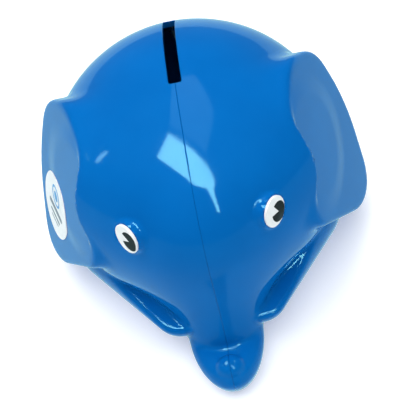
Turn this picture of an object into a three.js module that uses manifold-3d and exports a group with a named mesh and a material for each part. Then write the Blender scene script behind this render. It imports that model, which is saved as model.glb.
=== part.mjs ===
// Coin bank in the shape of an elephant: two moulded half shells, two eyes, an ear label and a plug.
// Millimetres. +Z up, the trunk points along -Y, +X is the elephant's left side.
// The outside is one smooth skin, described by a distance function and meshed at a chosen cell size.
// The inside is the same skin moved inwards by the wall thickness. The feet are turned pieces.
import * as THREE from 'three';
import { mergeVertices } from 'three/addons/utils/BufferGeometryUtils.js';
import Module from 'manifold-3d';

const wasm = await Module();
wasm.setup();

// ---- driving dimensions ----------------------------------------------------------------------
const WALL = 2.4;                    // wall thickness of both half shells
const SEAM_GAP = 0.3;                // gap between the halves, on the mid-plane
const GLUE_GAP = 0.3;                // gap under eyes and label
const BODY_SHIFT_Y = -0.49;          // moves the whole figure so its box is centred on Y
const OUTER_CELL = 5.8;              // mesh cell of the outside
const INNER_CELL = 8;                // mesh cell of the inside
const ROUND_SEGMENTS = 40;           // facets of the turned pieces
const FACET_TOLERANCE = 0.02;        // facets flatter than this are merged
const EVENING_PASSES = 4;            // how often the skin's vertices are spread out evenly
const GRID = { halfX: 84, low: [-85, -14], extent: [170, 124] };  // room round the whole figure
const CLEAR = 100;                   // further out than any part of the figure

const BODY = { centre: [0, 17.5, 43], side: 60.8, front: 66, rear: 59, top: 57.5, below: 43 };
const BELLY = { z: 8, blend: 6 };      // flat underside of the body
const SNOUT = { from: [0, -25, 50], to: [0, -43.5, 13], fromRadius: 24.5, toRadius: 17, blend: 14 };
const CHEEK = { from: [27, -5, 62], to: [2, -28, 63], fromRadius: 24.5, toRadius: 23, blend: 20 };
const JAW = { from: [34.5, -1, 24], to: [16, -42, 22], fromRadius: 23, toRadius: 12.2, blend: 1.5 };
// The jaw's upper side, beside the trunk: its height at y, and how it rises to the rear.
const LIP = { y: -42, z: 24, slope: 0.2, curve: 0.01, blend: 2 };
// The trunk's blunt end, an oval seen from above, widest at wideZ. Away from that height its sides
// lean inwards and its front leans back. Its top rises to the front.
const TRUNK_TIP = {
  centreY: -48, halfWidth: 15.4, reach: 27.6, wideZ: 9, round: 3, leanIn: 0.25, leanBack: 0.5,
  topY: -68, topZ: 16.3, topRise: 0.22, edgeBlend: 5, lowZ: -5, blend: 2.5,
};
const NOSE = { centre: [0, -69.2, 15.4], radii: [5.2, 4.4, 3.5], blend: 1.4 };
const EAR = {
  facing: [0.908, -0.281, 0.313],      // outward normal of the flat face
  point: [60.5, 20, 55],               // a point on the flat face
  // Sides of the outline, seen along X: direction of the side's normal in degrees from +Y
  // towards +Z, and how far the side lies from the X axis.
  sides: [[51.8, 81.5], [0, 34.5], [-30, 8], [-90, -11.5], [-136, -7.5], [103, 88.5], [150, 56]],
  cornerBlend: 8,
  rimBlend: 2.5,
  blend: 2.5,
  innerX: 12,                          // the ear wedge starts this far from the mid-plane
  flatInset: 1.5,                      // the face is flat up to this far from the outline
  flatLift: 0.4,                       // and this far above the wedge
  flatBlend: 2,
};
const FOOT = { x: 27, frontY: -12, rearY: 43, topZ: 18, radius: 12 };
const EYE_BOSS = {
  centre: [27.3, -41, 70.6], facing: [0.77, -0.605, 0.19], radius: 6.5, depth: 7,
};
const EYE = { radius: 6.1, thickness: 0.9 };
const LABEL = {
  y: 8, z: 40, radius: 15, thickness: 0.5, seatMargin: 0.5, seatDepth: 0.2, seatReach: 8,
};
const SLOT = { width: 5, fromY: 5.3, toY: 55, cornerRadius: 0.8, lowZ: 70, highZ: 120 };
const PLUG = {
  y: 12, holeRadius: 8.6, holeDepth: 6, seatRadius: 12, seatDepth: 2.2, runClearance: 0.4,
  headRadius: 11.5, headThickness: 1.8, spigotHeight: 5.5, cupWall: 1.6,
  tabWidth: 8, tabDrop: 4.5, tabThickness: 1.6, tabCorner: 2, tabRoot: 0.5,
};

const BLUE = 0x0b55b8;
const WHITE = 0xf4f4f1;

// ---- the skin as a distance function ---------------------------------------------------------
const length3 = (x, y, z) => Math.sqrt(x * x + y * y + z * z);

function smoothMin(a, b, blend) {
  const h = Math.max(blend - Math.abs(a - b), 0) / blend;
  return Math.min(a, b) - h * h * blend / 4;
}

const smoothMax = (a, b, blend) => -smoothMin(-a, -b, blend);

function ellipsoid(x, y, z, radii) {
  const [a, b, c] = radii;
  const k0 = length3(x / a, y / b, z / c);
  const k1 = length3(x / (a * a), y / (b * b), z / (c * c));
  return k0 * (k0 - 1) / Math.max(k1, 1e-9);
}

// A ball of fromRadius and a ball of toRadius joined by their common cone.
function taperedCapsule(x, y, z, part) {
  const [ax, ay, az] = part.from;
  const dx = part.to[0] - ax;
  const dy = part.to[1] - ay;
  const dz = part.to[2] - az;
  const px = x - ax;
  const py = y - ay;
  const pz = z - az;
  const l2 = dx * dx + dy * dy + dz * dz;
  const taper = part.fromRadius - part.toRadius;
  const slant = l2 - taper * taper;
  const along = px * dx + py * dy + pz * dz;
  const past = along - l2;
  const qx = px * l2 - dx * along;
  const qy = py * l2 - dy * along;
  const qz = pz * l2 - dz * along;
  const x2 = qx * qx + qy * qy + qz * qz;
  const y2 = along * along * l2;
  const z2 = past * past * l2;
  const k = Math.sign(taper) * taper * taper * x2;
  if (Math.sign(past) * slant * z2 > k) {
    return Math.sqrt(x2 + z2) / l2 - part.toRadius;
  }
  if (Math.sign(along) * slant * y2 < k) {
    return Math.sqrt(x2 + y2) / l2 - part.fromRadius;
  }
  return (Math.sqrt(x2 * slant / l2) + along * taper) / l2 - part.fromRadius;
}

// Distances to the ear's flat face and to its outline.
function earSides(x, y, z) {
  const [nx, ny, nz] = EAR.facing;
  const [px, py, pz] = EAR.point;
  const face = (x - px) * nx + (y - py) * ny + (z - pz) * nz;
  let outline = -Infinity;
  for (const [degrees, offset] of EAR.sides) {
    const angle = THREE.MathUtils.degToRad(degrees);
    const side = y * Math.cos(angle) + z * Math.sin(angle) - offset;
    outline = outline === -Infinity ? side : smoothMax(outline, side, EAR.cornerBlend);
  }
  return [face, outline];
}

// Height above the jaw's upper side, which rises more and more steeply to the rear.
function aboveLip(y, z) {
  const run = y - LIP.y;
  const behind = Math.max(run, 0);
  const rise = LIP.slope * run + LIP.curve * behind * behind;
  return (z - LIP.z - rise) / Math.hypot(1, LIP.slope + 2 * LIP.curve * behind);
}

function trunkTip(x, y, z) {
  const away = Math.hypot(z - TRUNK_TIP.wideZ, TRUNK_TIP.round) - TRUNK_TIP.round;
  const a = Math.max(TRUNK_TIP.halfWidth - TRUNK_TIP.leanIn * away, 1);
  const b = Math.max(TRUNK_TIP.reach - TRUNK_TIP.leanBack * away, 1);
  const side = (Math.hypot(x / a, (y - TRUNK_TIP.centreY) / b) - 1) * a;
  const rise = TRUNK_TIP.topRise;
  const top = (z - TRUNK_TIP.topZ + rise * (y - TRUNK_TIP.topY)) / Math.hypot(1, rise);
  return Math.max(smoothMax(side, top, TRUNK_TIP.edgeBlend), TRUNK_TIP.lowZ - z);
}

function bodyEgg(x, y, z) {
  const [, cy, cz] = BODY.centre;
  const ry = y > cy ? BODY.rear : BODY.front;
  const rz = z > cz ? BODY.top : BODY.below;
  return ellipsoid(x, y - cy, z - cz, [BODY.side, ry, rz]);
}

// Distance to the outside of the figure without its feet: negative inside.
function skin(sx, y, z) {
  const x = Math.abs(sx);
  let d = bodyEgg(x, y, z);
  d = smoothMin(d, taperedCapsule(x, y, z, CHEEK), CHEEK.blend);
  d = smoothMin(d, taperedCapsule(x, y, z, SNOUT), SNOUT.blend);
  const jaw = smoothMax(taperedCapsule(x, y, z, JAW), aboveLip(y, z), LIP.blend);
  d = smoothMin(d, jaw, JAW.blend);
  const [face, outline] = earSides(x, y, z);
  const blade = smoothMax(outline, face, EAR.rimBlend);
  d = smoothMin(d, smoothMax(blade, EAR.innerX - x, EAR.cornerBlend), EAR.blend);
  const bulge = smoothMax(outline + EAR.flatInset, EAR.flatLift - face, EAR.flatBlend);
  d = smoothMax(d, -bulge, EAR.flatBlend);
  d = smoothMax(d, BELLY.z - z, BELLY.blend);
  const [nx, ny, nz] = NOSE.centre;
  const nose = ellipsoid(x - nx, y - ny, z - nz, NOSE.radii);
  return smoothMin(d, smoothMin(trunkTip(x, y, z), nose, NOSE.blend), TRUNK_TIP.blend);
}

// ---- meshing the skin ------------------------------------------------------------------------
// Moves a point along the gradient until it lies where the distance function is zero.
function settle(distance, point) {
  const step = 0.05;
  for (let pass = 0; pass < 8; pass += 1) {
    const [x, y, z] = point;
    const d = distance(x, y, z);
    const gx = (distance(x + step, y, z) - distance(x - step, y, z)) / (2 * step);
    const gy = (distance(x, y + step, z) - distance(x, y - step, z)) / (2 * step);
    const gz = (distance(x, y, z + step) - distance(x, y, z - step)) / (2 * step);
    const g2 = Math.max(gx * gx + gy * gy + gz * gz, 0.05);
    point[0] -= d * gx / g2;
    point[1] -= d * gy / g2;
    point[2] -= d * gz / g2;
  }
  return point;
}

const apart = (p, q) => length3(p[0] - q[0], p[1] - q[1], p[2] - q[2]);

// Moves every vertex to the middle of its neighbours, then back onto the surface.
function evenOut(distance, points, rings) {
  const sums = points.map(() => [0, 0, 0, 0]);
  for (const ring of rings) {
    ring.forEach((vertex, n) => {
      const neighbour = points[ring[(n + 1) % 4]];
      const before = points[ring[(n + 3) % 4]];
      const sum = sums[vertex];
      for (let axis = 0; axis < 3; axis += 1) sum[axis] += neighbour[axis] + before[axis];
      sum[3] += 2;
    });
  }
  sums.forEach(([x, y, z, count], n) => {
    points[n] = settle(distance, [x / count, y / count, z / count]);
  });
}

// One vertex in every grid cell the surface passes through, and one four-sided face round every
// grid edge it crosses.
function meshOf(distance, cell) {
  // An odd number of cells across, so the two sides of the figure get the same mesh.
  const across = 2 * Math.ceil(GRID.halfX / cell) + 1;
  const low = [-across * cell / 2, ...GRID.low];
  const count = [across, ...GRID.extent.map((extent) => Math.ceil(extent / cell))];
  const at = (i, j, k) => [low[0] + i * cell, low[1] + j * cell, low[2] + k * cell];
  const index = (i, j, k) => (k * (count[1] + 1) + j) * (count[0] + 1) + i;
  const value = new Float64Array((count[0] + 1) * (count[1] + 1) * (count[2] + 1));
  for (let k = 0; k <= count[2]; k += 1) {
    for (let j = 0; j <= count[1]; j += 1) {
      for (let i = 0; i <= count[0]; i += 1) {
        value[index(i, j, k)] = distance(...at(i, j, k));
      }
    }
  }
  const corners = [0, 1, 2, 3, 4, 5, 6, 7].map((c) => [c & 1, (c >> 1) & 1, (c >> 2) & 1]);
  const points = [];
  const vertexOf = new Map();
  for (let k = 0; k < count[2]; k += 1) {
    for (let j = 0; j < count[1]; j += 1) {
      for (let i = 0; i < count[0]; i += 1) {
        const sum = [0, 0, 0];
        let crossings = 0;
        for (const a of corners) {
          for (let axis = 0; axis < 3; axis += 1) {
            if (a[axis] === 1) continue;
            const b = a.map((v, n) => (n === axis ? 1 : v));
            const va = value[index(i + a[0], j + a[1], k + a[2])];
            const vb = value[index(i + b[0], j + b[1], k + b[2])];
            if ((va < 0) === (vb < 0)) continue;
            const t = va / (va - vb);
            const p = at(i + a[0], j + a[1], k + a[2]);
            p[axis] += t * cell;
            sum[0] += p[0];
            sum[1] += p[1];
            sum[2] += p[2];
            crossings += 1;
          }
        }
        if (crossings === 0) continue;
        vertexOf.set(index(i, j, k), points.length);
        points.push(settle(distance, sum.map((v) => v / crossings)));
      }
    }
  }
  const rings = [];
  const next = [[1, 2], [2, 0], [0, 1]];
  for (let k = 1; k < count[2]; k += 1) {
    for (let j = 1; j < count[1]; j += 1) {
      for (let i = 1; i < count[0]; i += 1) {
        for (let axis = 0; axis < 3; axis += 1) {
          const here = [i, j, k];
          const there = here.map((v, n) => v + (n === axis ? 1 : 0));
          const inside = value[index(...here)] < 0;
          if (inside === (value[index(...there)] < 0)) continue;
          const [u, v] = next[axis];
          const ring = [[0, 0], [-1, 0], [-1, -1], [0, -1]].map(([du, dv]) => {
            const c = [...here];
            c[u] += du;
            c[v] += dv;
            return vertexOf.get(index(...c));
          });
          if (!inside) ring.reverse();
          rings.push(ring);
        }
      }
    }
  }
  for (let pass = 0; pass < EVENING_PASSES; pass += 1) evenOut(distance, points, rings);
  return {
    positions: points.flat(),
    faces: rings.flatMap(([a, b, c, d]) => (
      apart(points[a], points[c]) < apart(points[b], points[d])
        ? [a, b, c, a, c, d] : [a, b, d, b, c, d]
    )),
  };
}

// ---- solids ----------------------------------------------------------------------------------
function solidFromMesh({ positions, faces }) {
  return new wasm.Manifold(new wasm.Mesh({
    numProp: 3,
    vertProperties: new Float32Array(positions),
    triVerts: new Uint32Array(faces),
  }));
}

function solidFromGeometry(geometry) {
  const plain = geometry.clone();
  plain.deleteAttribute('normal');
  plain.deleteAttribute('uv');
  const merged = mergeVertices(plain, 1e-4);
  return solidFromMesh({
    positions: merged.attributes.position.array,
    faces: merged.index.array,
  });
}

function box(low, high) {
  const size = high.map((v, n) => v - low[n]);
  const geometry = new THREE.BoxGeometry(...size);
  geometry.translate(...low.map((v, n) => v + size[n] / 2));
  return solidFromGeometry(geometry);
}

// A disc whose axis is the given direction, from start to end along it.
function disc(centre, facing, radius, start, end) {
  const geometry = new THREE.CylinderGeometry(radius, radius, end - start, ROUND_SEGMENTS);
  geometry.translate(0, (start + end) / 2, 0);
  const up = new THREE.Vector3(0, 1, 0);
  const turn = new THREE.Quaternion().setFromUnitVectors(up, facing);
  geometry.applyQuaternion(turn);
  geometry.translate(centre.x, centre.y, centre.z);
  return solidFromGeometry(geometry);
}

const unit = (side, [x, y, z]) => new THREE.Vector3(side * x, y, z).normalize();
const mirrored = (side, [x, y, z]) => new THREE.Vector3(side * x, y, z);

function slotCutter() {
  const r = SLOT.cornerRadius;
  const half = SLOT.width / 2;
  const outline = new THREE.Shape();
  outline.absarc(half - r, SLOT.fromY + r, r, -Math.PI / 2, 0);
  outline.absarc(half - r, SLOT.toY - r, r, 0, Math.PI / 2);
  outline.absarc(-half + r, SLOT.toY - r, r, Math.PI / 2, Math.PI);
  outline.absarc(-half + r, SLOT.fromY + r, r, Math.PI, Math.PI * 1.5);
  const geometry = new THREE.ExtrudeGeometry(outline, {
    depth: SLOT.highZ - SLOT.lowZ, bevelEnabled: false, curveSegments: 3,
  });
  geometry.translate(0, 0, SLOT.lowZ);
  return solidFromGeometry(geometry);
}

const UP = new THREE.Vector3(0, 0, 1);
const plugCentre = new THREE.Vector3(0, PLUG.y, BELLY.z);

// The four feet as round bars, from their low end up into the body.
function feet(radius, low) {
  const bars = [];
  for (const x of [-FOOT.x, FOOT.x]) {
    for (const y of [FOOT.frontY, FOOT.rearY]) {
      bars.push(disc(new THREE.Vector3(x, y, 0), UP, radius, low, FOOT.topZ));
    }
  }
  return wasm.Manifold.union(bars);
}

function wholeShell() {
  const cavity = (x, y, z) => skin(x, y, z) + WALL;
  const inside = solidFromMesh(meshOf(cavity, INNER_CELL))
    .intersect(box([-CLEAR, -CLEAR, WALL], [CLEAR, CLEAR, SLOT.highZ]))
    .add(feet(FOOT.radius - WALL, WALL));
  let shell = solidFromMesh(meshOf(skin, OUTER_CELL))
    .intersect(box([-CLEAR, -CLEAR, 0], [CLEAR, CLEAR, SLOT.highZ]))
    .add(feet(FOOT.radius, 0));
  for (const side of [-1, 1]) {
    const facing = unit(side, EYE_BOSS.facing);
    const centre = mirrored(side, EYE_BOSS.centre);
    shell = shell.add(disc(centre, facing, EYE_BOSS.radius, -EYE_BOSS.depth, 0));
    // The seat clears the skin in front of the eye, where the head bulges past the boss.
    shell = shell.subtract(disc(centre, facing, EYE.radius + GLUE_GAP, 0, EYE_BOSS.depth));
  }
  return shell
    .subtract(inside)
    .subtract(slotCutter())
    .subtract(labelSeat())
    .subtract(disc(plugCentre, UP, PLUG.holeRadius, -BELLY.z, PLUG.holeDepth))
    .subtract(disc(plugCentre, UP, PLUG.seatRadius, -BELLY.z, PLUG.seatDepth));
}

// The plug: a soft cup pushed up into the hole, its head in the seat, with a pull tab below.
function plugSolid() {
  const headTop = PLUG.seatDepth - PLUG.runClearance;
  const headLow = headTop - PLUG.headThickness;
  const spigot = PLUG.holeRadius - PLUG.runClearance;
  const top = headTop + PLUG.spigotHeight;
  const profile = [
    [0, headLow], [PLUG.headRadius, headLow], [PLUG.headRadius, headTop], [spigot, headTop],
    [spigot, top], [spigot - PLUG.cupWall, top], [spigot - PLUG.cupWall, headTop], [0, headTop],
  ].map(([r, z]) => new THREE.Vector2(r, z));
  const turned = new THREE.LatheGeometry(profile, ROUND_SEGMENTS);
  turned.rotateX(Math.PI / 2);
  turned.translate(plugCentre.x, plugCentre.y, plugCentre.z);
  const tab = new THREE.Shape();
  const half = PLUG.tabWidth / 2;
  const r = PLUG.tabCorner;
  tab.moveTo(-half, PLUG.tabRoot);
  tab.absarc(-half + r, -PLUG.tabDrop + r, r, Math.PI, Math.PI * 1.5);
  tab.absarc(half - r, -PLUG.tabDrop + r, r, -Math.PI / 2, 0);
  tab.lineTo(half, PLUG.tabRoot);
  const pull = new THREE.ExtrudeGeometry(tab, {
    depth: PLUG.tabThickness, bevelEnabled: false, curveSegments: 4,
  });
  pull.rotateX(Math.PI / 2);
  pull.translate(0, PLUG.y + PLUG.tabThickness / 2, BELLY.z + headLow);
  return solidFromGeometry(turned).add(solidFromGeometry(pull));
}

// The label lies on the flat face of the right ear, at the stated depth and height.
const labelFacing = unit(-1, EAR.facing);

function labelCentre() {
  const point = mirrored(-1, EAR.point);
  const rise = (LABEL.y - point.y) * labelFacing.y + (LABEL.z - point.z) * labelFacing.z;
  return new THREE.Vector3(point.x - rise / labelFacing.x, LABEL.y, LABEL.z);
}

function labelSolid() {
  const low = GLUE_GAP - LABEL.seatDepth;
  return disc(labelCentre(), labelFacing, LABEL.radius, low, low + LABEL.thickness);
}

// Levels the ear where the label sits, in case the head bulges past the ear's flat face.
function labelSeat() {
  const radius = LABEL.radius + LABEL.seatMargin;
  return disc(labelCentre(), labelFacing, radius, -LABEL.seatDepth, LABEL.seatReach);
}

function eyeSolid(side) {
  const facing = unit(side, EYE_BOSS.facing);
  const centre = mirrored(side, EYE_BOSS.centre);
  return disc(centre, facing, EYE.radius, GLUE_GAP, GLUE_GAP + EYE.thickness);
}

// ---- the group -------------------------------------------------------------------------------
const glossyBlue = new THREE.MeshStandardMaterial({ color: BLUE, roughness: 0.12, metalness: 0 });
const softBlue = new THREE.MeshStandardMaterial({ color: BLUE, roughness: 0.5, metalness: 0 });
const eyeWhite = new THREE.MeshStandardMaterial({ color: WHITE, roughness: 0.3, metalness: 0 });
const paperWhite = new THREE.MeshStandardMaterial({ color: WHITE, roughness: 0.55, metalness: 0 });

const bank = new THREE.Group();
bank.name = 'elephant_bank';

function addPiece(name, solid, material) {
  const { vertProperties, triVerts } = solid.simplify(FACET_TOLERANCE).getMesh();
  const geometry = new THREE.BufferGeometry();
  geometry.setAttribute('position', new THREE.BufferAttribute(vertProperties, 3));
  geometry.setIndex(new THREE.BufferAttribute(triVerts, 1));
  geometry.translate(0, BODY_SHIFT_Y, 0);
  geometry.computeVertexNormals();
  const mesh = new THREE.Mesh(geometry, material);
  mesh.name = name;
  bank.add(mesh);
}

const shell = wholeShell();
const halfGap = SEAM_GAP / 2;
const leftSide = box([halfGap, -CLEAR, -CLEAR], [CLEAR, CLEAR, SLOT.highZ]);
const rightSide = box([-CLEAR, -CLEAR, -CLEAR], [-halfGap, CLEAR, SLOT.highZ]);
addPiece('left_half_shell', shell.intersect(leftSide), glossyBlue);
addPiece('right_half_shell', shell.intersect(rightSide), glossyBlue);
addPiece('left_eye', eyeSolid(1), eyeWhite);
addPiece('right_eye', eyeSolid(-1), eyeWhite);
addPiece('ear_label', labelSolid(), paperWhite);
addPiece('belly_plug', plugSolid(), softBlue);

export default bank;
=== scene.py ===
"""The looks of a glossy plastic coin bank shaped like an elephant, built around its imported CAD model.

Shapes are worked out in millimetres, in the figure's own frame, which the CAD model shares apart from
a small shift along Y. Blender's objects are in metres, in the row frame.
"""
import math

import bmesh
import bpy
import numpy as np
from mathutils import Matrix, Vector


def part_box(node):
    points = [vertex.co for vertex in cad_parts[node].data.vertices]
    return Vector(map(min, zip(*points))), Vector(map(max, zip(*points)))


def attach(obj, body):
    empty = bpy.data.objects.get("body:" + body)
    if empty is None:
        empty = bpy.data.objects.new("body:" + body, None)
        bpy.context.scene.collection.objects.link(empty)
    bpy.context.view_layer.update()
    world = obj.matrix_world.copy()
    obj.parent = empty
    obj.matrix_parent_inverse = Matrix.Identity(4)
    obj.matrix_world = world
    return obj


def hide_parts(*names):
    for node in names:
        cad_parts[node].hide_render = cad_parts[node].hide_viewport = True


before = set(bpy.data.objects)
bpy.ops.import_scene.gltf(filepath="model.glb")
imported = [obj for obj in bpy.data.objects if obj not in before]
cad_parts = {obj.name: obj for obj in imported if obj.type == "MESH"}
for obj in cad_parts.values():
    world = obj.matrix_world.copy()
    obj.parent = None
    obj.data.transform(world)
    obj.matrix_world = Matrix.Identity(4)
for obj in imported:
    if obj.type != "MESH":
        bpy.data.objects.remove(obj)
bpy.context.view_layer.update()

# ---- driving dimensions, in millimetres ------------------------------------------------------
MM = 0.001
WALL = 2.4
SEAM_GAP = 0.08               # between the two half shells, which are glued here
SEAM_ROUND = 0.14             # how deep the seam's edges are rounded
SEAM_LIP = 0.45               # how far from the mid-plane that rounding starts
OUTER_CELL = 1.15             # mesh cell of the outside
INNER_CELL = 3.0              # mesh cell of the inside
PAST_MIDDLE = 1.5 * OUTER_CELL  # how far the left part runs past the mid-plane before it is cut
ROOM = {"side": 78, "front": -80, "rear": 80, "top": 105}    # meshed space round the left half
CLEAR = 90                    # further out than any part of the figure
ON_SKIN = {"distance": 0.12, "alignment": 0.9}   # which face corners get the skin's own normals
BODY = {"centre": (0, 17.5, 43), "side": 60.8, "front": 66, "rear": 59, "top": 57.5, "below": 43}
BELLY = {"z": 8, "blend": 6}
SNOUT = {"start": (0, -25, 50), "end": (0, -43.5, 13), "radii": (24.5, 17), "blend": 14}
CHEEK = {"start": (27, -5, 62), "end": (2, -28, 63), "radii": (24.5, 23), "blend": 20, "merge": 8}
JAW = {"start": (34.5, -1, 24), "end": (16, -42, 22), "radii": (23, 12.2), "blend": 1.5}
LIP = {"y": -42, "z": 24, "slope": 0.2, "curve": 0.01, "blend": 2}
TRUNK_TIP = {
    "centre_y": -48, "half_width": 15.4, "reach": 27.6, "wide_z": 9, "round": 3,
    "lean_in": 0.25, "lean_back": 0.5,
    "top_y": -68, "top_z": 16.3, "top_rise": 0.22, "edge_blend": 5, "low_z": -5, "blend": 2.5,
}
NOSE = {"centre": (0, -69.2, 15.4), "radii": (5.2, 4.4, 3.5), "blend": 1.4}
NOSTRIL = {"x": 1.7, "y": -70, "z": 18.8, "radius": 0.7, "blend": 0.7}
EAR = {
    "facing": (0.908, -0.281, 0.313),
    "point": (60.5, 20, 55),
    "sides": ((51.8, 81.5), (0, 34.5), (-30, 8), (-90, -11.5), (-136, -7.5), (103, 88.5), (150, 56)),
    "corner_blend": 8,
    "rim_blend": 3.2,
    "blend": 2.5,
    "inner_x": 12,
    "flat_inset": 1.5,
    "flat_lift": 0.4,
    "flat_blend": 2,
}
FOOT = {"x": 27, "ys": (-12, 43), "radius": 12, "top_z": 18, "edge": 1.2, "blend": 5}
FLOOR_EDGE = 1.0              # rounding where feet and trunk meet the floor
EYE = {
    "centre": (27.3, -41, 70.6), "facing": (0.77, -0.605, 0.19), "radius": 6.1, "thickness": 1.1,
    "edge": 0.35, "gap": 0.05,
}
PUPIL = {
    "radius": 4.1, "aside": 1.9, "notch": 27, "notch_depth": 4.0, "sink": 0.1, "lift": 0.07,
    "edge": 0.05, "left_turn": -42, "right_turn": 2,
}
BOSS = {"radius": 6.5, "depth": 7, "edge": 0.4, "blend": 2, "seat": 6.25, "seat_blend": 0.5}
LABEL = {"y": 8, "z": 40, "radius": 15, "thickness": 0.3, "edge": 0.12, "gap": 0.04}
PRINT = {"sink": 0.05, "lift": 0.03, "edge": 0.01, "rim": 0.02}   # below and above the label's face
COIN_RING = {"across": 0, "up": 5.2, "outer": 5.4, "inner": 4.3, "heart": 2.6}
BARS = ((-2.6, 17, 2.3), (-6.2, 12, 1.3), (-8.6, 9, 0.7))   # height, length and breadth of each
SLOT = {"width": 5, "from_y": 5.3, "to_y": 55, "corner": 0.8, "low_z": 70, "edge": 0.45}
PLUG = {
    "y": 12, "hole": 8.6, "hole_depth": 6, "seat": 12, "seat_depth": 2.2, "clearance": 0.4,
    "head": 11.5, "head_thickness": 1.8, "spigot_height": 5.5, "wall": 1.6, "edge": 0.4,
    "mouth": 0.4,
    "tab_width": 8, "tab_drop": 4.5, "tab_thickness": 1.6, "tab_corner": 2, "tab_root": 0.5,
    "tab_edge": 0.35,
}
HIGH_Z = 120

# ---- the studio, in metres and degrees -------------------------------------------------------
FLOOR_SIZE = 3.0
CAMERA = {
    "elevation": 50, "azimuth": 4.7, "roll": 14.2, "distance": 0.42, "focal_length": 92.6,
    "target": (-0.0006, -0.008, 0.045),
}
OVERHEAD = 1.69               # height of the panels that the gloss reflects
# Bands: places along the middle line, each with the band's breadth there.
SKYLIGHT = (((-0.38, 0.16), 0.45), ((0.17, -0.39), 0.38), ((0.5, -0.66), 0.2), ((1.16, -2.27), 0.14))
SIDE_STRIP = (((-1.5, 0.27), 0.06), ((-2.16, 0.05), 0.06))
DARK_CARD = (((0.006, -0.088), 0.01), ((0.003, -0.106), 0.034))
LIT_CEILING = ((-0.2, 0.4), (0.2, -0.03), (0.3, 0.5), (0.25, 1.1), (-0.15, 0.95))

# The CAD model's shift along Y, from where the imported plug's middle lies.
plug_low, plug_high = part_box("belly_plug")
SHIFT_Y = (plug_low.y + plug_high.y) / 2 / MM - PLUG["y"]


# ---- the skin as a distance function ---------------------------------------------------------
def smooth_min(a, b, blend):
    h = np.maximum(blend - np.abs(a - b), 0) / blend
    return np.minimum(a, b) - h * h * blend / 4


def smooth_max(a, b, blend):
    return -smooth_min(-a, -b, blend)


def ellipsoid(x, y, z, radii):
    a, b, c = radii
    k0 = np.sqrt((x / a) ** 2 + (y / b) ** 2 + (z / c) ** 2)
    k1 = np.sqrt((x / a ** 2) ** 2 + (y / b ** 2) ** 2 + (z / c ** 2) ** 2)
    return k0 * (k0 - 1) / np.maximum(k1, 1e-9)


def tapered_capsule(x, y, z, part):
    """A ball at start and a ball at end, joined by their common cone."""
    start = np.array(part["start"], float)
    dx, dy, dz = np.array(part["end"], float) - start
    r_start, r_end = part["radii"]
    l2 = dx * dx + dy * dy + dz * dz
    taper = r_start - r_end
    slant = l2 - taper * taper
    px = x - start[0]
    py = y - start[1]
    pz = z - start[2]
    along = px * dx + py * dy + pz * dz
    past = along - l2
    x2 = (px * l2 - dx * along) ** 2 + (py * l2 - dy * along) ** 2 + (pz * l2 - dz * along) ** 2
    y2 = along * along * l2
    z2 = past * past * l2
    k = np.sign(taper) * taper * taper * x2
    side = (np.sqrt(x2 * slant / l2) + along * taper) / l2 - r_start
    low = np.sqrt(x2 + y2) / l2 - r_start
    far = np.sqrt(x2 + z2) / l2 - r_end
    near = np.where(np.sign(along) * slant * y2 < k, low, side)
    return np.where(np.sign(past) * slant * z2 > k, far, near)


def rounded_disc(x, y, z, centre, facing, radius, half_depth, edge):
    n = np.array(facing, float)
    n /= np.linalg.norm(n)
    px = x - centre[0]
    py = y - centre[1]
    pz = z - centre[2]
    along = px * n[0] + py * n[1] + pz * n[2]
    across = np.sqrt(np.maximum(px * px + py * py + pz * pz - along * along, 0))
    dr = across - radius + edge
    dh = np.abs(along) - half_depth + edge
    return np.minimum(np.maximum(dr, dh), 0) + np.hypot(np.maximum(dr, 0), np.maximum(dh, 0)) - edge


def ear_sides(x, y, z):
    """Distances to the ear's flat face and to its outline."""
    nx, ny, nz = EAR["facing"]
    px, py, pz = EAR["point"]
    face = (x - px) * nx + (y - py) * ny + (z - pz) * nz
    outline = None
    for degrees, offset in EAR["sides"]:
        angle = math.radians(degrees)
        side = y * math.cos(angle) + z * math.sin(angle) - offset
        outline = side if outline is None else smooth_max(outline, side, EAR["corner_blend"])
    return face, outline


def body_egg(x, y, z):
    cx, cy, cz = BODY["centre"]
    ry = np.where(y > cy, BODY["rear"], BODY["front"])
    rz = np.where(z > cz, BODY["top"], BODY["below"])
    return ellipsoid(x - cx, y - cy, z - cz, (BODY["side"], ry, rz))


def skin(sx, y, z):
    """Distance to the outside of the figure: negative inside."""
    x = np.abs(sx)
    d = body_egg(x, y, z)
    cheek = tapered_capsule(np.hypot(x, CHEEK["merge"]), y, z, CHEEK)     # both cheeks run together
    d = smooth_min(d, cheek, CHEEK["blend"])
    d = smooth_min(d, tapered_capsule(x, y, z, SNOUT), SNOUT["blend"])
    jaw = smooth_max(tapered_capsule(x, y, z, JAW), above_lip(y, z), LIP["blend"])
    d = smooth_min(d, jaw, JAW["blend"])
    face, outline = ear_sides(x, y, z)
    wedge = smooth_max(smooth_max(outline, face, EAR["rim_blend"]), EAR["inner_x"] - x, EAR["corner_blend"])
    d = smooth_min(d, wedge, EAR["blend"])
    bulge = smooth_max(outline + EAR["flat_inset"], EAR["flat_lift"] - face, EAR["flat_blend"])
    d = smooth_max(d, -bulge, EAR["flat_blend"])
    d = smooth_max(d, BELLY["z"] - z, BELLY["blend"])
    nx, ny, nz = NOSE["centre"]
    nose = ellipsoid(x - nx, y - ny, z - nz, NOSE["radii"])
    return smooth_min(d, smooth_min(trunk_tip(x, y, z), nose, NOSE["blend"]), TRUNK_TIP["blend"])


def above_lip(y, z):
    """Height above the jaw's upper side, which rises more and more steeply to the rear."""
    run = y - LIP["y"]
    behind = np.maximum(run, 0)
    rise = LIP["slope"] * run + LIP["curve"] * behind ** 2
    return (z - LIP["z"] - rise) / np.hypot(1, LIP["slope"] + 2 * LIP["curve"] * behind)


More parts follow.
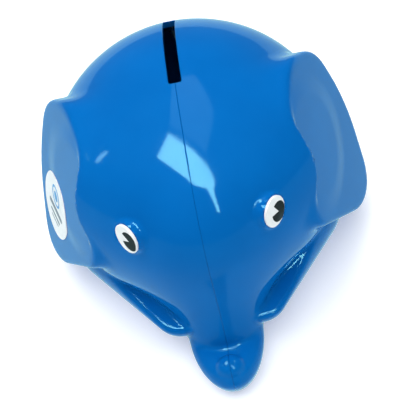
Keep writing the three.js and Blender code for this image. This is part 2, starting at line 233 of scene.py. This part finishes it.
def trunk_tip(x, y, z):
    """The trunk's blunt end: an oval, widest low down, with a top that rises to the front."""
    away = np.hypot(z - TRUNK_TIP["wide_z"], TRUNK_TIP["round"]) - TRUNK_TIP["round"]
    a = np.maximum(TRUNK_TIP["half_width"] - TRUNK_TIP["lean_in"] * away, 1)
    b = np.maximum(TRUNK_TIP["reach"] - TRUNK_TIP["lean_back"] * away, 1)
    side = (np.hypot(x / a, (y - TRUNK_TIP["centre_y"]) / b) - 1) * a
    rise = TRUNK_TIP["top_rise"]
    top = (z - TRUNK_TIP["top_z"] + rise * (y - TRUNK_TIP["top_y"])) / math.hypot(1, rise)
    return np.maximum(smooth_max(side, top, TRUNK_TIP["edge_blend"]), TRUNK_TIP["low_z"] - z)


def outside(x, y, z):
    """The skin with its eye seats, nostrils and feet, cut off flat at the floor."""
    d = skin(x, y, z)
    hole = np.sqrt((np.abs(x) - NOSTRIL["x"]) ** 2 + (y - NOSTRIL["y"]) ** 2 + (z - NOSTRIL["z"]) ** 2)
    d = smooth_max(d, NOSTRIL["radius"] - hole, NOSTRIL["blend"])
    facing = np.array(EYE["facing"]) / np.linalg.norm(EYE["facing"])
    middle = np.array(EYE["centre"]) - facing * BOSS["depth"] / 2
    boss = rounded_disc(np.abs(x), y, z, middle, facing, BOSS["radius"], BOSS["depth"] / 2, BOSS["edge"])
    d = smooth_min(d, boss, BOSS["blend"])
    above = np.array(EYE["centre"]) + facing * BOSS["depth"] / 2
    seat = rounded_disc(np.abs(x), y, z, above, facing, BOSS["seat"], BOSS["depth"] / 2, BOSS["edge"])
    d = smooth_max(d, -seat, BOSS["seat_blend"])
    for foot_y in FOOT["ys"]:
        half = FOOT["top_z"] / 2
        foot = rounded_disc(
            np.abs(x), y, z, (FOOT["x"], foot_y, half), (0, 0, 1), FOOT["radius"], half, FOOT["edge"])
        d = smooth_min(d, foot, FOOT["blend"])
    return smooth_max(d, -z, FLOOR_EDGE)


def left_outside(x, y, z):
    """The outside's left part, closed just past the mid-plane, where the seam then cuts it."""
    return np.maximum(outside(x, y, z), -PAST_MIDDLE - x)


def left_inside(x, y, z):
    return np.maximum(skin(x, y, z) + WALL, -PAST_MIDDLE - x)


# ---- meshing a distance function -------------------------------------------------------------
def gradient(distance, points, step=0.02):
    result = np.empty_like(points)
    for axis in range(3):
        ahead = points.copy()
        behind = points.copy()
        ahead[:, axis] += step
        behind[:, axis] -= step
        result[:, axis] = (distance(*ahead.T) - distance(*behind.T)) / (2 * step)
    return result


def settle(distance, points, passes=5):
    """Moves points along the gradient until they lie where the distance is zero."""
    for _ in range(passes):
        slope = gradient(distance, points)
        length2 = np.maximum((slope ** 2).sum(1), 0.05)
        points = points - slope * (distance(*points.T) / length2)[:, None]
    return points


def even_out(points, rings):
    """Moves every vertex to the middle of its neighbours."""
    sums = np.zeros_like(points)
    count = np.zeros(len(points))
    for turn in (1, 3):
        neighbours = np.roll(rings, turn, axis=1).ravel()
        np.add.at(sums, rings.ravel(), points[neighbours])
        np.add.at(count, rings.ravel(), 1)
    return sums / count[:, None]


def surface_net(distance, low, high, cell, evening=3):
    """Points and four-sided faces: a point in each cell that the surface passes through."""
    counts = [math.ceil((b - a) / cell) for a, b in zip(low, high)]
    axes = [a + cell * np.arange(n + 1) for a, n in zip(low, counts)]
    place = np.stack(np.meshgrid(*axes, indexing="ij"), -1)
    value = distance(place[..., 0], place[..., 1], place[..., 2])
    inside = value < 0
    sums = np.zeros((*counts, 3))
    hits = np.zeros(counts)
    rings = []
    for axis in range(3):
        near = tuple(slice(0, -1) if n == axis else slice(None) for n in range(3))
        far = tuple(slice(1, None) if n == axis else slice(None) for n in range(3))
        here = np.argwhere(inside[near] != inside[far])
        there = here.copy()
        there[:, axis] += 1
        value_here = value[tuple(here.T)]
        share = value_here / (value_here - value[tuple(there.T)])
        crossing = place[tuple(here.T)].copy()
        crossing[:, axis] += share * cell
        u = (axis + 1) % 3
        v = (axis + 2) % 3
        corners = []
        for du, dv in ((0, 0), (-1, 0), (-1, -1), (0, -1)):
            cells = here.copy()
            cells[:, u] += du
            cells[:, v] += dv
            np.add.at(sums, tuple(cells.T), crossing)
            np.add.at(hits, tuple(cells.T), 1)
            corners.append(np.ravel_multi_index(tuple(cells.T), counts))
        ring = np.stack(corners, 1)
        outward = inside[tuple(here.T)]
        ring[~outward] = ring[~outward][:, ::-1]
        rings.append(ring)
    used = hits.ravel() > 0
    number = np.cumsum(used) - 1
    points = sums.reshape(-1, 3)[used] / hits.ravel()[used][:, None]
    rings = number[np.concatenate(rings)]
    points = settle(distance, points)
    for _ in range(evening):
        points = settle(distance, even_out(points, rings), passes=3)
    return points, rings


# ---- mesh objects ----------------------------------------------------------------------------
def to_row(points):
    """Figure millimetres to row-frame metres."""
    return (np.asarray(points, float) + np.array([0, SHIFT_Y, 0])) * MM


def to_figure(points):
    return np.asarray(points, float) / MM - np.array([0, SHIFT_Y, 0])


def new_object(name, points, faces):
    mesh = bpy.data.meshes.new(name)
    mesh.from_pydata([tuple(p) for p in to_row(points)], [], [tuple(int(i) for i in f) for f in faces])
    mesh.update()
    piece = bpy.data.objects.new(name, mesh)
    bpy.context.scene.collection.objects.link(piece)
    return piece


def loft(name, rows):
    """A closed solid from rows of points, each row one level, capped at both ends."""
    count = len(rows[0])
    points = [p for row in rows for p in row]
    faces = []
    for level in range(len(rows) - 1):
        for n in range(count):
            a = level * count + n
            b = level * count + (n + 1) % count
            faces.append((a, b, b + count, a + count))
    faces.append(tuple(reversed(range(count))))
    faces.append(tuple(range((len(rows) - 1) * count, len(rows) * count)))
    return new_object(name, points, faces)


def circle(centre, radius, segments=96):
    turns = [2 * math.pi * n / segments for n in range(segments)]
    return [(centre[0] + radius * math.cos(t), centre[1] + radius * math.sin(t)) for t in turns]


def ring_points(centre, radius, z):
    return [(x, y, z) for x, y in circle(centre, radius, 64)]


def block(name, low, high):
    corners = [(low[0], low[1]), (high[0], low[1]), (high[0], high[1]), (low[0], high[1])]
    return loft(name, [[(x, y, z) for x, y in corners] for z in (low[2], high[2])])


def combine(piece, other, operation):
    """Adds, cuts or keeps the common part, and deletes the other object."""
    modifier = piece.modifiers.new(operation, "BOOLEAN")
    modifier.operation = operation
    modifier.solver = "MANIFOLD"
    modifier.object = other
    graph = bpy.context.evaluated_depsgraph_get()
    mesh = bpy.data.meshes.new_from_object(piece.evaluated_get(graph))
    old = piece.data
    piece.modifiers.clear()
    piece.data = mesh
    bpy.data.meshes.remove(old)
    bpy.data.objects.remove(other)


# ---- the half shells -------------------------------------------------------------------------
def stadium(offset, steps=6):
    """The coin slot's outline, seen from above, moved outwards by offset."""
    r = SLOT["corner"]
    half = SLOT["width"] / 2
    corners = (
        (half - r, SLOT["from_y"] + r, -90), (half - r, SLOT["to_y"] - r, 0),
        (-half + r, SLOT["to_y"] - r, 90), (-half + r, SLOT["from_y"] + r, 180))
    points = []
    for x, y, first in corners:
        for n in range(steps + 1):
            t = math.radians(first + 90 * n / steps)
            points.append((x + (r + offset) * math.cos(t), y + (r + offset) * math.sin(t)))
    return dense(points, 1.5)


def dense(points, spacing):
    """The same closed outline with no stretch longer than spacing."""
    result = []
    for (x0, y0), (x1, y1) in zip(points, points[1:] + points[:1]):
        pieces = max(1, math.ceil(math.hypot(x1 - x0, y1 - y0) / spacing))
        for n in range(pieces):
            result.append((x0 + (x1 - x0) * n / pieces, y0 + (y1 - y0) * n / pieces))
    return result


def top_of_skin(xy):
    """The height of the skin above each point."""
    xy = np.array(xy, float)
    z = np.full(len(xy), float(HIGH_Z))
    for _ in range(60):
        z -= skin(xy[:, 0], xy[:, 1], z) * 0.9
    return z


def slot_cutter():
    """A slot with rounded lips: its walls flare outwards where they meet the skin."""
    edge = SLOT["edge"]
    base = stadium(0)
    rows = [[(x, y, SLOT["low_z"]) for x, y in base]]
    for degrees in (0, 22.5, 45, 67.5, 90):
        t = math.radians(degrees)
        outline = stadium(edge * (1 - math.cos(t)))
        tops = top_of_skin(outline)
        rows.append([(x, y, top - edge * (1 - math.sin(t))) for (x, y), top in zip(outline, tops)])
    outline = stadium(edge)
    rows.append([(x, y, HIGH_Z) for x, y in outline])
    return loft("slot_cutter", rows)


def cavity():
    """The hollow of the left half, with those of its two feet."""
    low = (-2 * INNER_CELL, ROOM["front"], -5 * INNER_CELL)
    high = (ROOM["side"], ROOM["rear"], ROOM["top"])
    solid = new_object("cavity", *surface_net(left_inside, low, high, INNER_CELL))
    combine(solid, block("above_floor", (-CLEAR, -CLEAR, WALL), (CLEAR, CLEAR, HIGH_Z)), "INTERSECT")
    for foot_y in FOOT["ys"]:
        centre = (FOOT["x"], foot_y)
        radius = FOOT["radius"] - WALL
        bar = loft("foot_bar", [ring_points(centre, radius, z) for z in (WALL, FOOT["top_z"])])
        combine(solid, bar, "UNION")
    return solid


def left_half():
    low = (-3 * OUTER_CELL, ROOM["front"], -3)
    high = (ROOM["side"], ROOM["rear"], ROOM["top"])
    piece = new_object("left_half", *surface_net(left_outside, low, high, OUTER_CELL))
    soften_seam(piece)
    combine(piece, cavity(), "DIFFERENCE")
    combine(piece, slot_cutter(), "DIFFERENCE")
    centre = (0, PLUG["y"])
    seat_top = BELLY["z"] + PLUG["seat_depth"]
    hole_top = BELLY["z"] + PLUG["hole_depth"]
    mouth = PLUG["seat"] + PLUG["mouth"]
    hole = loft("hole", [ring_points(centre, r, z) for r, z in (
        (mouth, -5), (mouth, BELLY["z"]), (PLUG["seat"], BELLY["z"] + PLUG["mouth"]),
        (PLUG["seat"], seat_top), (PLUG["hole"], seat_top), (PLUG["hole"], hole_top))])
    combine(piece, hole, "DIFFERENCE")
    keep = block("keep", (SEAM_GAP / 2, -CLEAR, -CLEAR), (CLEAR, CLEAR, HIGH_Z))
    combine(piece, keep, "INTERSECT")
    return piece


def soften_seam(piece):
    """Rounds the edge along the seam: one loop of points at the gap sinks into the skin."""
    mesh = bmesh.new()
    mesh.from_mesh(piece.data)
    for x in (SEAM_GAP / 2, (SEAM_GAP / 2 + SEAM_LIP) / 2, SEAM_LIP):
        geometry = mesh.verts[:] + mesh.edges[:] + mesh.faces[:]
        bmesh.ops.bisect_plane(
            mesh, geom=geometry, plane_co=(x * MM, 0, 0), plane_no=(1, 0, 0), dist=1e-7)
    places = to_figure([v.co for v in mesh.verts])
    slope = gradient(outside, places)
    slope /= np.linalg.norm(slope, axis=1)[:, None]
    near = np.clip((SEAM_LIP - places[:, 0]) / (SEAM_LIP - SEAM_GAP / 2), 0, 1)
    places = places - slope * (SEAM_ROUND * near ** 2)[:, None]
    for vertex, place in zip(mesh.verts, to_row(places)):
        vertex.co = place
    mesh.to_mesh(piece.data)
    mesh.free()


def smooth_skin(piece):
    """Exact normals on the skin, flat ones on cut faces."""
    mesh = piece.data
    mesh.shade_smooth()
    centres = to_figure([p.center for p in mesh.polygons])
    on_skin = np.abs(outside(*centres.T)) < ON_SKIN["distance"]
    vertices = to_figure([v.co for v in mesh.vertices])
    slope = gradient(outside, vertices)
    slope /= np.linalg.norm(slope, axis=1)[:, None]
    faces = np.array([tuple(p.normal) for p in mesh.polygons])
    normals = []
    for polygon in mesh.polygons:
        for index in polygon.vertices:
            exact = slope[index]
            faced = faces[polygon.index]
            skinned = on_skin[polygon.index] and exact @ faced > ON_SKIN["alignment"]
            normals.append(tuple(exact if skinned else faced))
    mesh.normals_split_custom_set(normals)


def half_shells(material):
    left = left_half()
    left.name = "left_shell"
    right = left.copy()
    right.data = left.data.copy()
    right.name = "right_shell"
    bpy.context.scene.collection.objects.link(right)
    right.data.transform(Matrix.Scale(-1, 4, (1, 0, 0)))
    right.data.flip_normals()
    for piece, node in ((left, "left_half_shell"), (right, "right_half_shell")):
        piece.data.materials.clear()
        piece.data.materials.append(material)
        smooth_skin(piece)
        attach(piece, "bank")
        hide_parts(node)


# ---- eyes, label and plug --------------------------------------------------------------------
def plane_axes(facing):
    """Unit vectors of a tilted plane: outwards, level across and up."""
    out = np.array(facing, float)
    out /= np.linalg.norm(out)
    across = np.array([-out[1], out[0], 0])
    across /= np.linalg.norm(across)
    if across[0] < 0:
        across = -across
    up = np.array([0, 0, 1]) - out * out[2]
    return out, across, up / np.linalg.norm(up)


def finish_piece(piece, body, material, nodes=(), smooth=35):
    mesh = piece.data
    mesh.materials.clear()
    mesh.materials.append(material)
    mesh.shade_smooth()
    mesh.set_sharp_from_angle(angle=math.radians(smooth))
    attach(piece, body)
    if nodes:
        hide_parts(*nodes)


def turned(name, profile, place):
    """A closed solid of revolution from (radius, height) points; place maps (u, v, height) to 3-D."""
    rows = [[place(u, v, height) for u, v in circle((0, 0), radius)] for radius, height in profile]
    return loft(name, rows)


def quarter(radius, height, edge, first, last, steps=5):
    """Points of a rounded edge round (radius, height), between two angles in degrees."""
    angles = [math.radians(first + (last - first) * n / steps) for n in range(steps + 1)]
    return [(radius + edge * math.cos(t), height + edge * math.sin(t)) for t in angles]


def eyes(white, black):
    for name, side, turn in (("left", 1, PUPIL["left_turn"]), ("right", -1, PUPIL["right_turn"])):
        facing = (side * EYE["facing"][0], EYE["facing"][1], EYE["facing"][2])
        out, across, up = plane_axes(facing)
        centre = np.array([side * EYE["centre"][0], EYE["centre"][1], EYE["centre"][2]])

        def place(u, v, height):
            return centre + across * u + up * v + out * height

        edge = EYE["edge"]
        radius = EYE["radius"]
        top = EYE["thickness"]
        profile = [(0.05, EYE["gap"]), (radius - 0.1, EYE["gap"])]
        profile += quarter(radius - edge, top - edge, edge, 0, 90)
        profile += [(radius * part, top) for part in (0.8, 0.5, 0.2, 0.01)]
        disc = turned(name + "_eye_disc", profile, place)
        finish_piece(disc, "bank", white, [name + "_eye"])
        levels = ((-PUPIL["sink"], 0), (PUPIL["lift"] / 2, 0), (PUPIL["lift"], PUPIL["edge"]))
        rows = []
        for height, shrink in levels:
            rows.append([place(u, v, top + height) for u, v in pupil_outline(turn, shrink)])
        pupil = loft(name + "_pupil", rows)
        finish_piece(pupil, "bank", black)


def pupil_outline(turn, shrink, steps=72):
    """A round spot off to one side, with a wedge left out of it, kept inside the disc's rim."""
    reach = EYE["radius"] - EYE["edge"] - shrink
    radius = PUPIL["radius"] - shrink
    half = math.radians(PUPIL["notch"])
    points = [(PUPIL["aside"] + PUPIL["radius"] - PUPIL["notch_depth"] + shrink, 0)]
    for n in range(steps + 1):
        t = -math.pi + half + (2 * math.pi - 2 * half) * n / steps
        u = PUPIL["aside"] + radius * math.cos(t)
        v = radius * math.sin(t)
        shorten = min(1, reach / math.hypot(u, v))
        points.append((u * shorten, v * shorten))
    c = math.cos(math.radians(turn))
    d = math.sin(math.radians(turn))
    return [(u * c - v * d, u * d + v * c) for u, v in points]


def label_place():
    """Maps (across, up) on the right ear's face to a point on the skin, and gives the outward side."""
    out, across, up = plane_axes((-EAR["facing"][0], EAR["facing"][1], EAR["facing"][2]))
    px, py, pz = EAR["point"]
    rise = (LABEL["y"] - py) * out[1] + (LABEL["z"] - pz) * out[2]
    centre = np.array([-px - rise / out[0], LABEL["y"], LABEL["z"]])

    def place(u, v):
        flat = np.array([centre + across * a + up * b for a, b in zip(u, v)])
        return settle(skin, flat, passes=8)

    return place, out


def sheet(name, rings, low, high, edge):
    """A thin closed sheet lying on the ear: rings of (across, up) points from the rim inwards."""
    place, out = label_place()
    levels = [(rings[0], low), (rings[0], high - edge), (rings[1], high)]
    levels += [(ring, high) for ring in rings[2:]]
    rows = []
    for ring, height in levels:
        u, v = np.array(ring).T
        rows.append([tuple(p) for p in place(u, v) + out * height])
    return loft(name, rows)


def bar_outline(height, length, breadth, shrink):
    half = length / 2 - breadth / 2
    radius = breadth / 2 - shrink
    points = []
    for n in range(9):
        t = math.radians(-90 + 180 * n / 8)
        points.append((half + radius * math.cos(t), height + radius * math.sin(t)))
    for n in range(9):
        t = math.radians(90 + 180 * n / 8)
        points.append((-half + radius * math.cos(t), height + radius * math.sin(t)))
    return dense(points, 0.8)


def annulus(name, centre, outer, inner, low, high):
    """A flat ring lying on the ear."""
    place, out = label_place()
    rows = []
    for radius, height in ((outer, low), (outer, high), (inner, high), (inner, low)):
        u, v = np.array(circle(centre, radius)).T
        rows.append([tuple(p) for p in place(u, v) + out * height])
    count = len(rows[0])
    faces = []
    for level in range(4):
        a = level * count
        b = (level + 1) % 4 * count
        for n in range(count):
            m = (n + 1) % count
            faces.append((a + n, a + m, b + m, b + n))
    return new_object(name, [p for row in rows for p in row], faces)


def label(paper, blue, grey):
    radius = LABEL["radius"]
    low = LABEL["gap"]
    high = low + LABEL["thickness"]
    rings = [circle((0, 0), radius), circle((0, 0), radius - LABEL["edge"])]
    rings += [circle((0, 0), radius * part) for part in (0.85, 0.7, 0.55, 0.4, 0.25, 0.1, 0.01)]
    piece = sheet("label_sheet", rings, low, high, LABEL["edge"])
    finish_piece(piece, "bank", paper, ["ear_label"])
    middle = (COIN_RING["across"], COIN_RING["up"])
    below = high - PRINT["sink"]
    above = high + PRINT["lift"]
    ring = annulus("label_ring", middle, COIN_RING["outer"], COIN_RING["inner"], below, above)
    finish_piece(ring, "bank", blue)
    heart = COIN_RING["heart"]
    rings = [circle(middle, heart * part, 48) for part in (1, 0.98, 0.6, 0.2, 0.01)]
    spot = sheet("label_spot", rings, below, above, PRINT["edge"])
    finish_piece(spot, "bank", blue)
    for number, (height, length, breadth) in enumerate(BARS):
        shrinks = (0, PRINT["rim"], breadth / 2 - PRINT["rim"])
        rings = [bar_outline(height, length, breadth, shrink) for shrink in shrinks]
        bar = sheet("label_bar_%d" % number, rings, below, above, PRINT["edge"])
        finish_piece(bar, "bank", grey)


def plug(material):
    def place(u, v, height):
        return (u, PLUG["y"] + v, BELLY["z"] + height)

    edge = PLUG["edge"]
    top = PLUG["seat_depth"] - PLUG["clearance"]
    low = top - PLUG["head_thickness"]
    head = PLUG["head"]
    spigot = PLUG["hole"] - PLUG["clearance"]
    rim = top + PLUG["spigot_height"]
    bore = spigot - PLUG["wall"]
    profile = [(0.01, low), (head * 0.5, low)]
    profile += quarter(head - edge, low + edge, edge, -90, 0)
    profile += quarter(head - edge, top - edge, edge, 0, 90)
    profile += [(spigot + edge, top), (spigot, top + edge)]
    profile += quarter(spigot - edge, rim - edge, edge, 0, 90)
    profile += quarter(bore + edge, rim - edge, edge, 90, 180)
    profile += [(bore, top + edge), (bore - edge, top), (0.01, top)]
    piece = turned("plug_cup", profile, place)
    combine(piece, pull_tab(low), "UNION")
    finish_piece(piece, "plug", material, ["belly_plug"], smooth=50)


def pull_tab(low):
    """A flat tab with a round-cornered end, its edges rounded."""
    half = PLUG["tab_width"] / 2
    r = PLUG["tab_corner"]
    drop = low - PLUG["tab_drop"]
    outline = [(half, low + PLUG["tab_root"]), (-half, low + PLUG["tab_root"])]
    for centre, first in ((-half + r, 180), (half - r, 270)):
        for n in range(9):
            t = math.radians(first + 90 * n / 8)
            outline.append((centre + r * math.cos(t), drop + r + r * math.sin(t)))
    middle = np.mean(outline, axis=0)
    edge = PLUG["tab_edge"]
    rows = []
    for aside, inset in ((-1, edge), (-1 + 0.4 * edge, 0.3 * edge), (-1 + 1.2 * edge, 0),
                         (1 - 1.2 * edge, 0), (1 - 0.4 * edge, 0.3 * edge), (1, edge)):
        y = PLUG["y"] + aside * PLUG["tab_thickness"] / 2
        row = []
        for x, z in outline:
            dx = middle[0] - x
            dz = middle[1] - z
            away = math.hypot(dx, dz)
            row.append((x + dx * inset / away, y, BELLY["z"] + z + dz * inset / away))
        rows.append(row)
    return loft("pull_tab", rows)


# ---- materials -------------------------------------------------------------------------------
def new_material(name):
    material = bpy.data.materials.new(name)
    material.use_nodes = True
    return material, material.node_tree.nodes["Principled BSDF"]


def grained(name, first, second, scale, rough, bump):
    """A material with two close colours clouding into each other, uneven gloss and a fine relief."""
    material, shader = new_material(name)
    nodes = material.node_tree.nodes
    links = material.node_tree.links
    place = nodes.new("ShaderNodeTexCoord")
    cloud = nodes.new("ShaderNodeTexNoise")
    cloud.inputs["Scale"].default_value = scale
    cloud.inputs["Detail"].default_value = 3
    colour = nodes.new("ShaderNodeValToRGB")
    colour.color_ramp.elements[0].position = 0.3
    colour.color_ramp.elements[0].color = (*first, 1)
    colour.color_ramp.elements[1].position = 0.7
    colour.color_ramp.elements[1].color = (*second, 1)
    links.new(place.outputs["Object"], cloud.inputs["Vector"])
    links.new(cloud.outputs["Fac"], colour.inputs["Fac"])
    links.new(colour.outputs["Color"], shader.inputs["Base Color"])
    smear = nodes.new("ShaderNodeTexNoise")
    smear.inputs["Scale"].default_value = scale * 3
    smear.inputs["Detail"].default_value = 4
    gloss = nodes.new("ShaderNodeMapRange")
    gloss.inputs["To Min"].default_value = rough[0]
    gloss.inputs["To Max"].default_value = rough[1]
    links.new(place.outputs["Object"], smear.inputs["Vector"])
    links.new(smear.outputs["Fac"], gloss.inputs["Value"])
    links.new(gloss.outputs["Result"], shader.inputs["Roughness"])
    wave = nodes.new("ShaderNodeTexNoise")
    wave.inputs["Scale"].default_value = bump[0]
    wave.inputs["Detail"].default_value = 1
    relief = nodes.new("ShaderNodeBump")
    relief.inputs["Strength"].default_value = bump[1]
    relief.inputs["Distance"].default_value = MM
    links.new(place.outputs["Object"], wave.inputs["Vector"])
    links.new(wave.outputs["Fac"], relief.inputs["Height"])
    links.new(relief.outputs["Normal"], shader.inputs["Normal"])
    return material, shader


def shell_plastic():
    """Glossy moulded plastic: faint colour clouding and a slow waviness in the gloss."""
    material, shader = grained(
        "glossy_blue", (0.0006, 0.122, 0.43), (0.001, 0.136, 0.465), 40, (0.05, 0.1), (90, 0.03))
    shader.inputs["IOR"].default_value = 1.25
    shader.inputs["Specular Tint"].default_value = (0.35, 0.9, 1.0, 1)
    return material


def small_materials():
    white = grained("eye_white", (0.86, 0.86, 0.85), (0.92, 0.92, 0.91), 300, (0.2, 0.3), (900, 0.02))[0]
    black, ink = grained(
        "pupil_black", (0.007, 0.006, 0.005), (0.012, 0.01, 0.009), 400, (0.3, 0.4), (900, 0.02))
    ink.inputs["IOR"].default_value = 1.2
    paper = grained("label_white", (0.84, 0.85, 0.86), (0.9, 0.9, 0.9), 500, (0.35, 0.5), (1500, 0.05))[0]
    blue = grained("print_blue", (0.02, 0.27, 0.62), (0.03, 0.31, 0.68), 500, (0.35, 0.5), (1500, 0.04))[0]
    grey = grained("print_grey", (0.16, 0.2, 0.25), (0.2, 0.24, 0.29), 500, (0.35, 0.5), (1500, 0.04))[0]
    soft = grained("soft_blue", (0.002, 0.09, 0.31), (0.004, 0.105, 0.35), 120, (0.45, 0.6), (1200, 0.12))[0]
    return white, black, paper, blue, grey, soft


# ---- floor, lights and camera ----------------------------------------------------------------
def flat_object(name, corners, height):
    """A flat staging sheet, level at the given height, that isn't part of the model."""
    mesh = bpy.data.meshes.new(name)
    mesh.from_pydata([(x, y, height) for x, y in corners], [], [tuple(range(len(corners)))])
    sheet_object = bpy.data.objects.new(name, mesh)
    bpy.context.scene.collection.objects.link(sheet_object)
    return sheet_object


def studio():
    size = FLOOR_SIZE
    square = ((-size, -size), (size, -size), (size, size), (-size, size))
    floor = flat_object("floor", square, 0)
    material, shader = new_material("pale_floor")
    shader.inputs["Base Color"].default_value = (0.9, 0.9, 0.9, 1)
    shader.inputs["Roughness"].default_value = 0.9
    shader.inputs["Specular IOR Level"].default_value = 0.1
    shader.inputs["Emission Color"].default_value = (1, 1, 1, 1)
    shader.inputs["Emission Strength"].default_value = 0.3
    floor.data.materials.append(material)
    floor.visible_glossy = False
    world = bpy.data.worlds.new("room")
    bpy.context.scene.world = world
    world.use_nodes = True
    background = world.node_tree.nodes["Background"]
    background.inputs["Color"].default_value = (0.75, 0.9, 1.0, 1)
    background.inputs["Strength"].default_value = 0.22
    area("key", (-0.7, 0.5, 1.8), (0, 0, 0.03), 2.0, 18)
    area("fill", (0.1, -0.1, 2.2), (0, 0, 0), 3.5, 72)
    # The gloss sees a dimmer floor, just under the real one, and a dark card in front of the trunk.
    pane("floor_glow", square, -MM, 0.95, (0.55, 0.95, 1.0))
    pane("dark_card", band(DARK_CARD), MM / 2, 0)
    pane("skylight", band(SKYLIGHT), OVERHEAD, 42)
    pane("lit_ceiling", LIT_CEILING, OVERHEAD, 3)
    pane("side_strip", band(SIDE_STRIP), OVERHEAD, 28)


def band(stations):
    """The outline of a band from its middle line's places and its breadth at each."""
    places = [np.array(place) for place, _ in stations]
    last = len(places) - 1
    one_side = []
    other_side = []
    for n, (_, breadth) in enumerate(stations):
        along = places[min(n + 1, last)] - places[max(n - 1, 0)]
        aside = np.array([-along[1], along[0]]) / np.linalg.norm(along) * breadth / 2
        one_side.append(tuple(places[n] + aside))
        other_side.append(tuple(places[n] - aside))
    return one_side + other_side[::-1]


def pane(name, corners, height, strength, tint=(0.9, 1.0, 0.95)):
    """A level panel that only shows as a reflection in the gloss."""
    panel = flat_object(name, corners, height)
    material, shader = new_material(name)
    shader.inputs["Base Color"].default_value = (0, 0, 0, 1)
    shader.inputs["Emission Color"].default_value = (*tint, 1)
    shader.inputs["Emission Strength"].default_value = strength
    panel.data.materials.append(material)
    panel.visible_camera = False
    panel.visible_diffuse = False
    panel.visible_shadow = False


def area(name, place, target, size, power):
    light = bpy.data.lights.new(name, "AREA")
    light.size = size
    light.energy = power
    lamp = bpy.data.objects.new(name, light)
    lamp.location = place
    lamp.rotation_euler = (Vector(target) - Vector(place)).to_track_quat("-Z", "Y").to_euler()
    lamp.visible_glossy = False
    bpy.context.scene.collection.objects.link(lamp)


def camera():
    elevation = math.radians(CAMERA["elevation"])
    azimuth = math.radians(CAMERA["azimuth"])
    roll = math.radians(CAMERA["roll"])
    target = Vector(CAMERA["target"]) + Vector((0, SHIFT_Y * MM, 0))
    reach = math.cos(elevation)
    back = Vector((math.sin(azimuth) * reach, -math.cos(azimuth) * reach, math.sin(elevation)))
    level = Vector((math.cos(azimuth), math.sin(azimuth), 0))
    up = back.cross(level)
    right = level * math.cos(roll) - up * math.sin(roll)
    above = level * math.sin(roll) + up * math.cos(roll)
    lens = bpy.data.cameras.new("camera")
    lens.sensor_width = 36
    lens.lens = CAMERA["focal_length"]
    lens.clip_start = 0.01
    body = bpy.data.objects.new("camera", lens)
    turn = Matrix((right, above, back)).transposed().to_4x4()
    body.matrix_world = Matrix.Translation(target + back * CAMERA["distance"]) @ turn
    bpy.context.scene.collection.objects.link(body)
    bpy.context.scene.camera = body


bpy.context.scene.view_settings.view_transform = "Standard"
camera()
studio()
half_shells(shell_plastic())
white, black, paper, print_blue, print_grey, soft = small_materials()
eyes(white, black)
label(paper, print_blue, print_grey)
plug(soft)
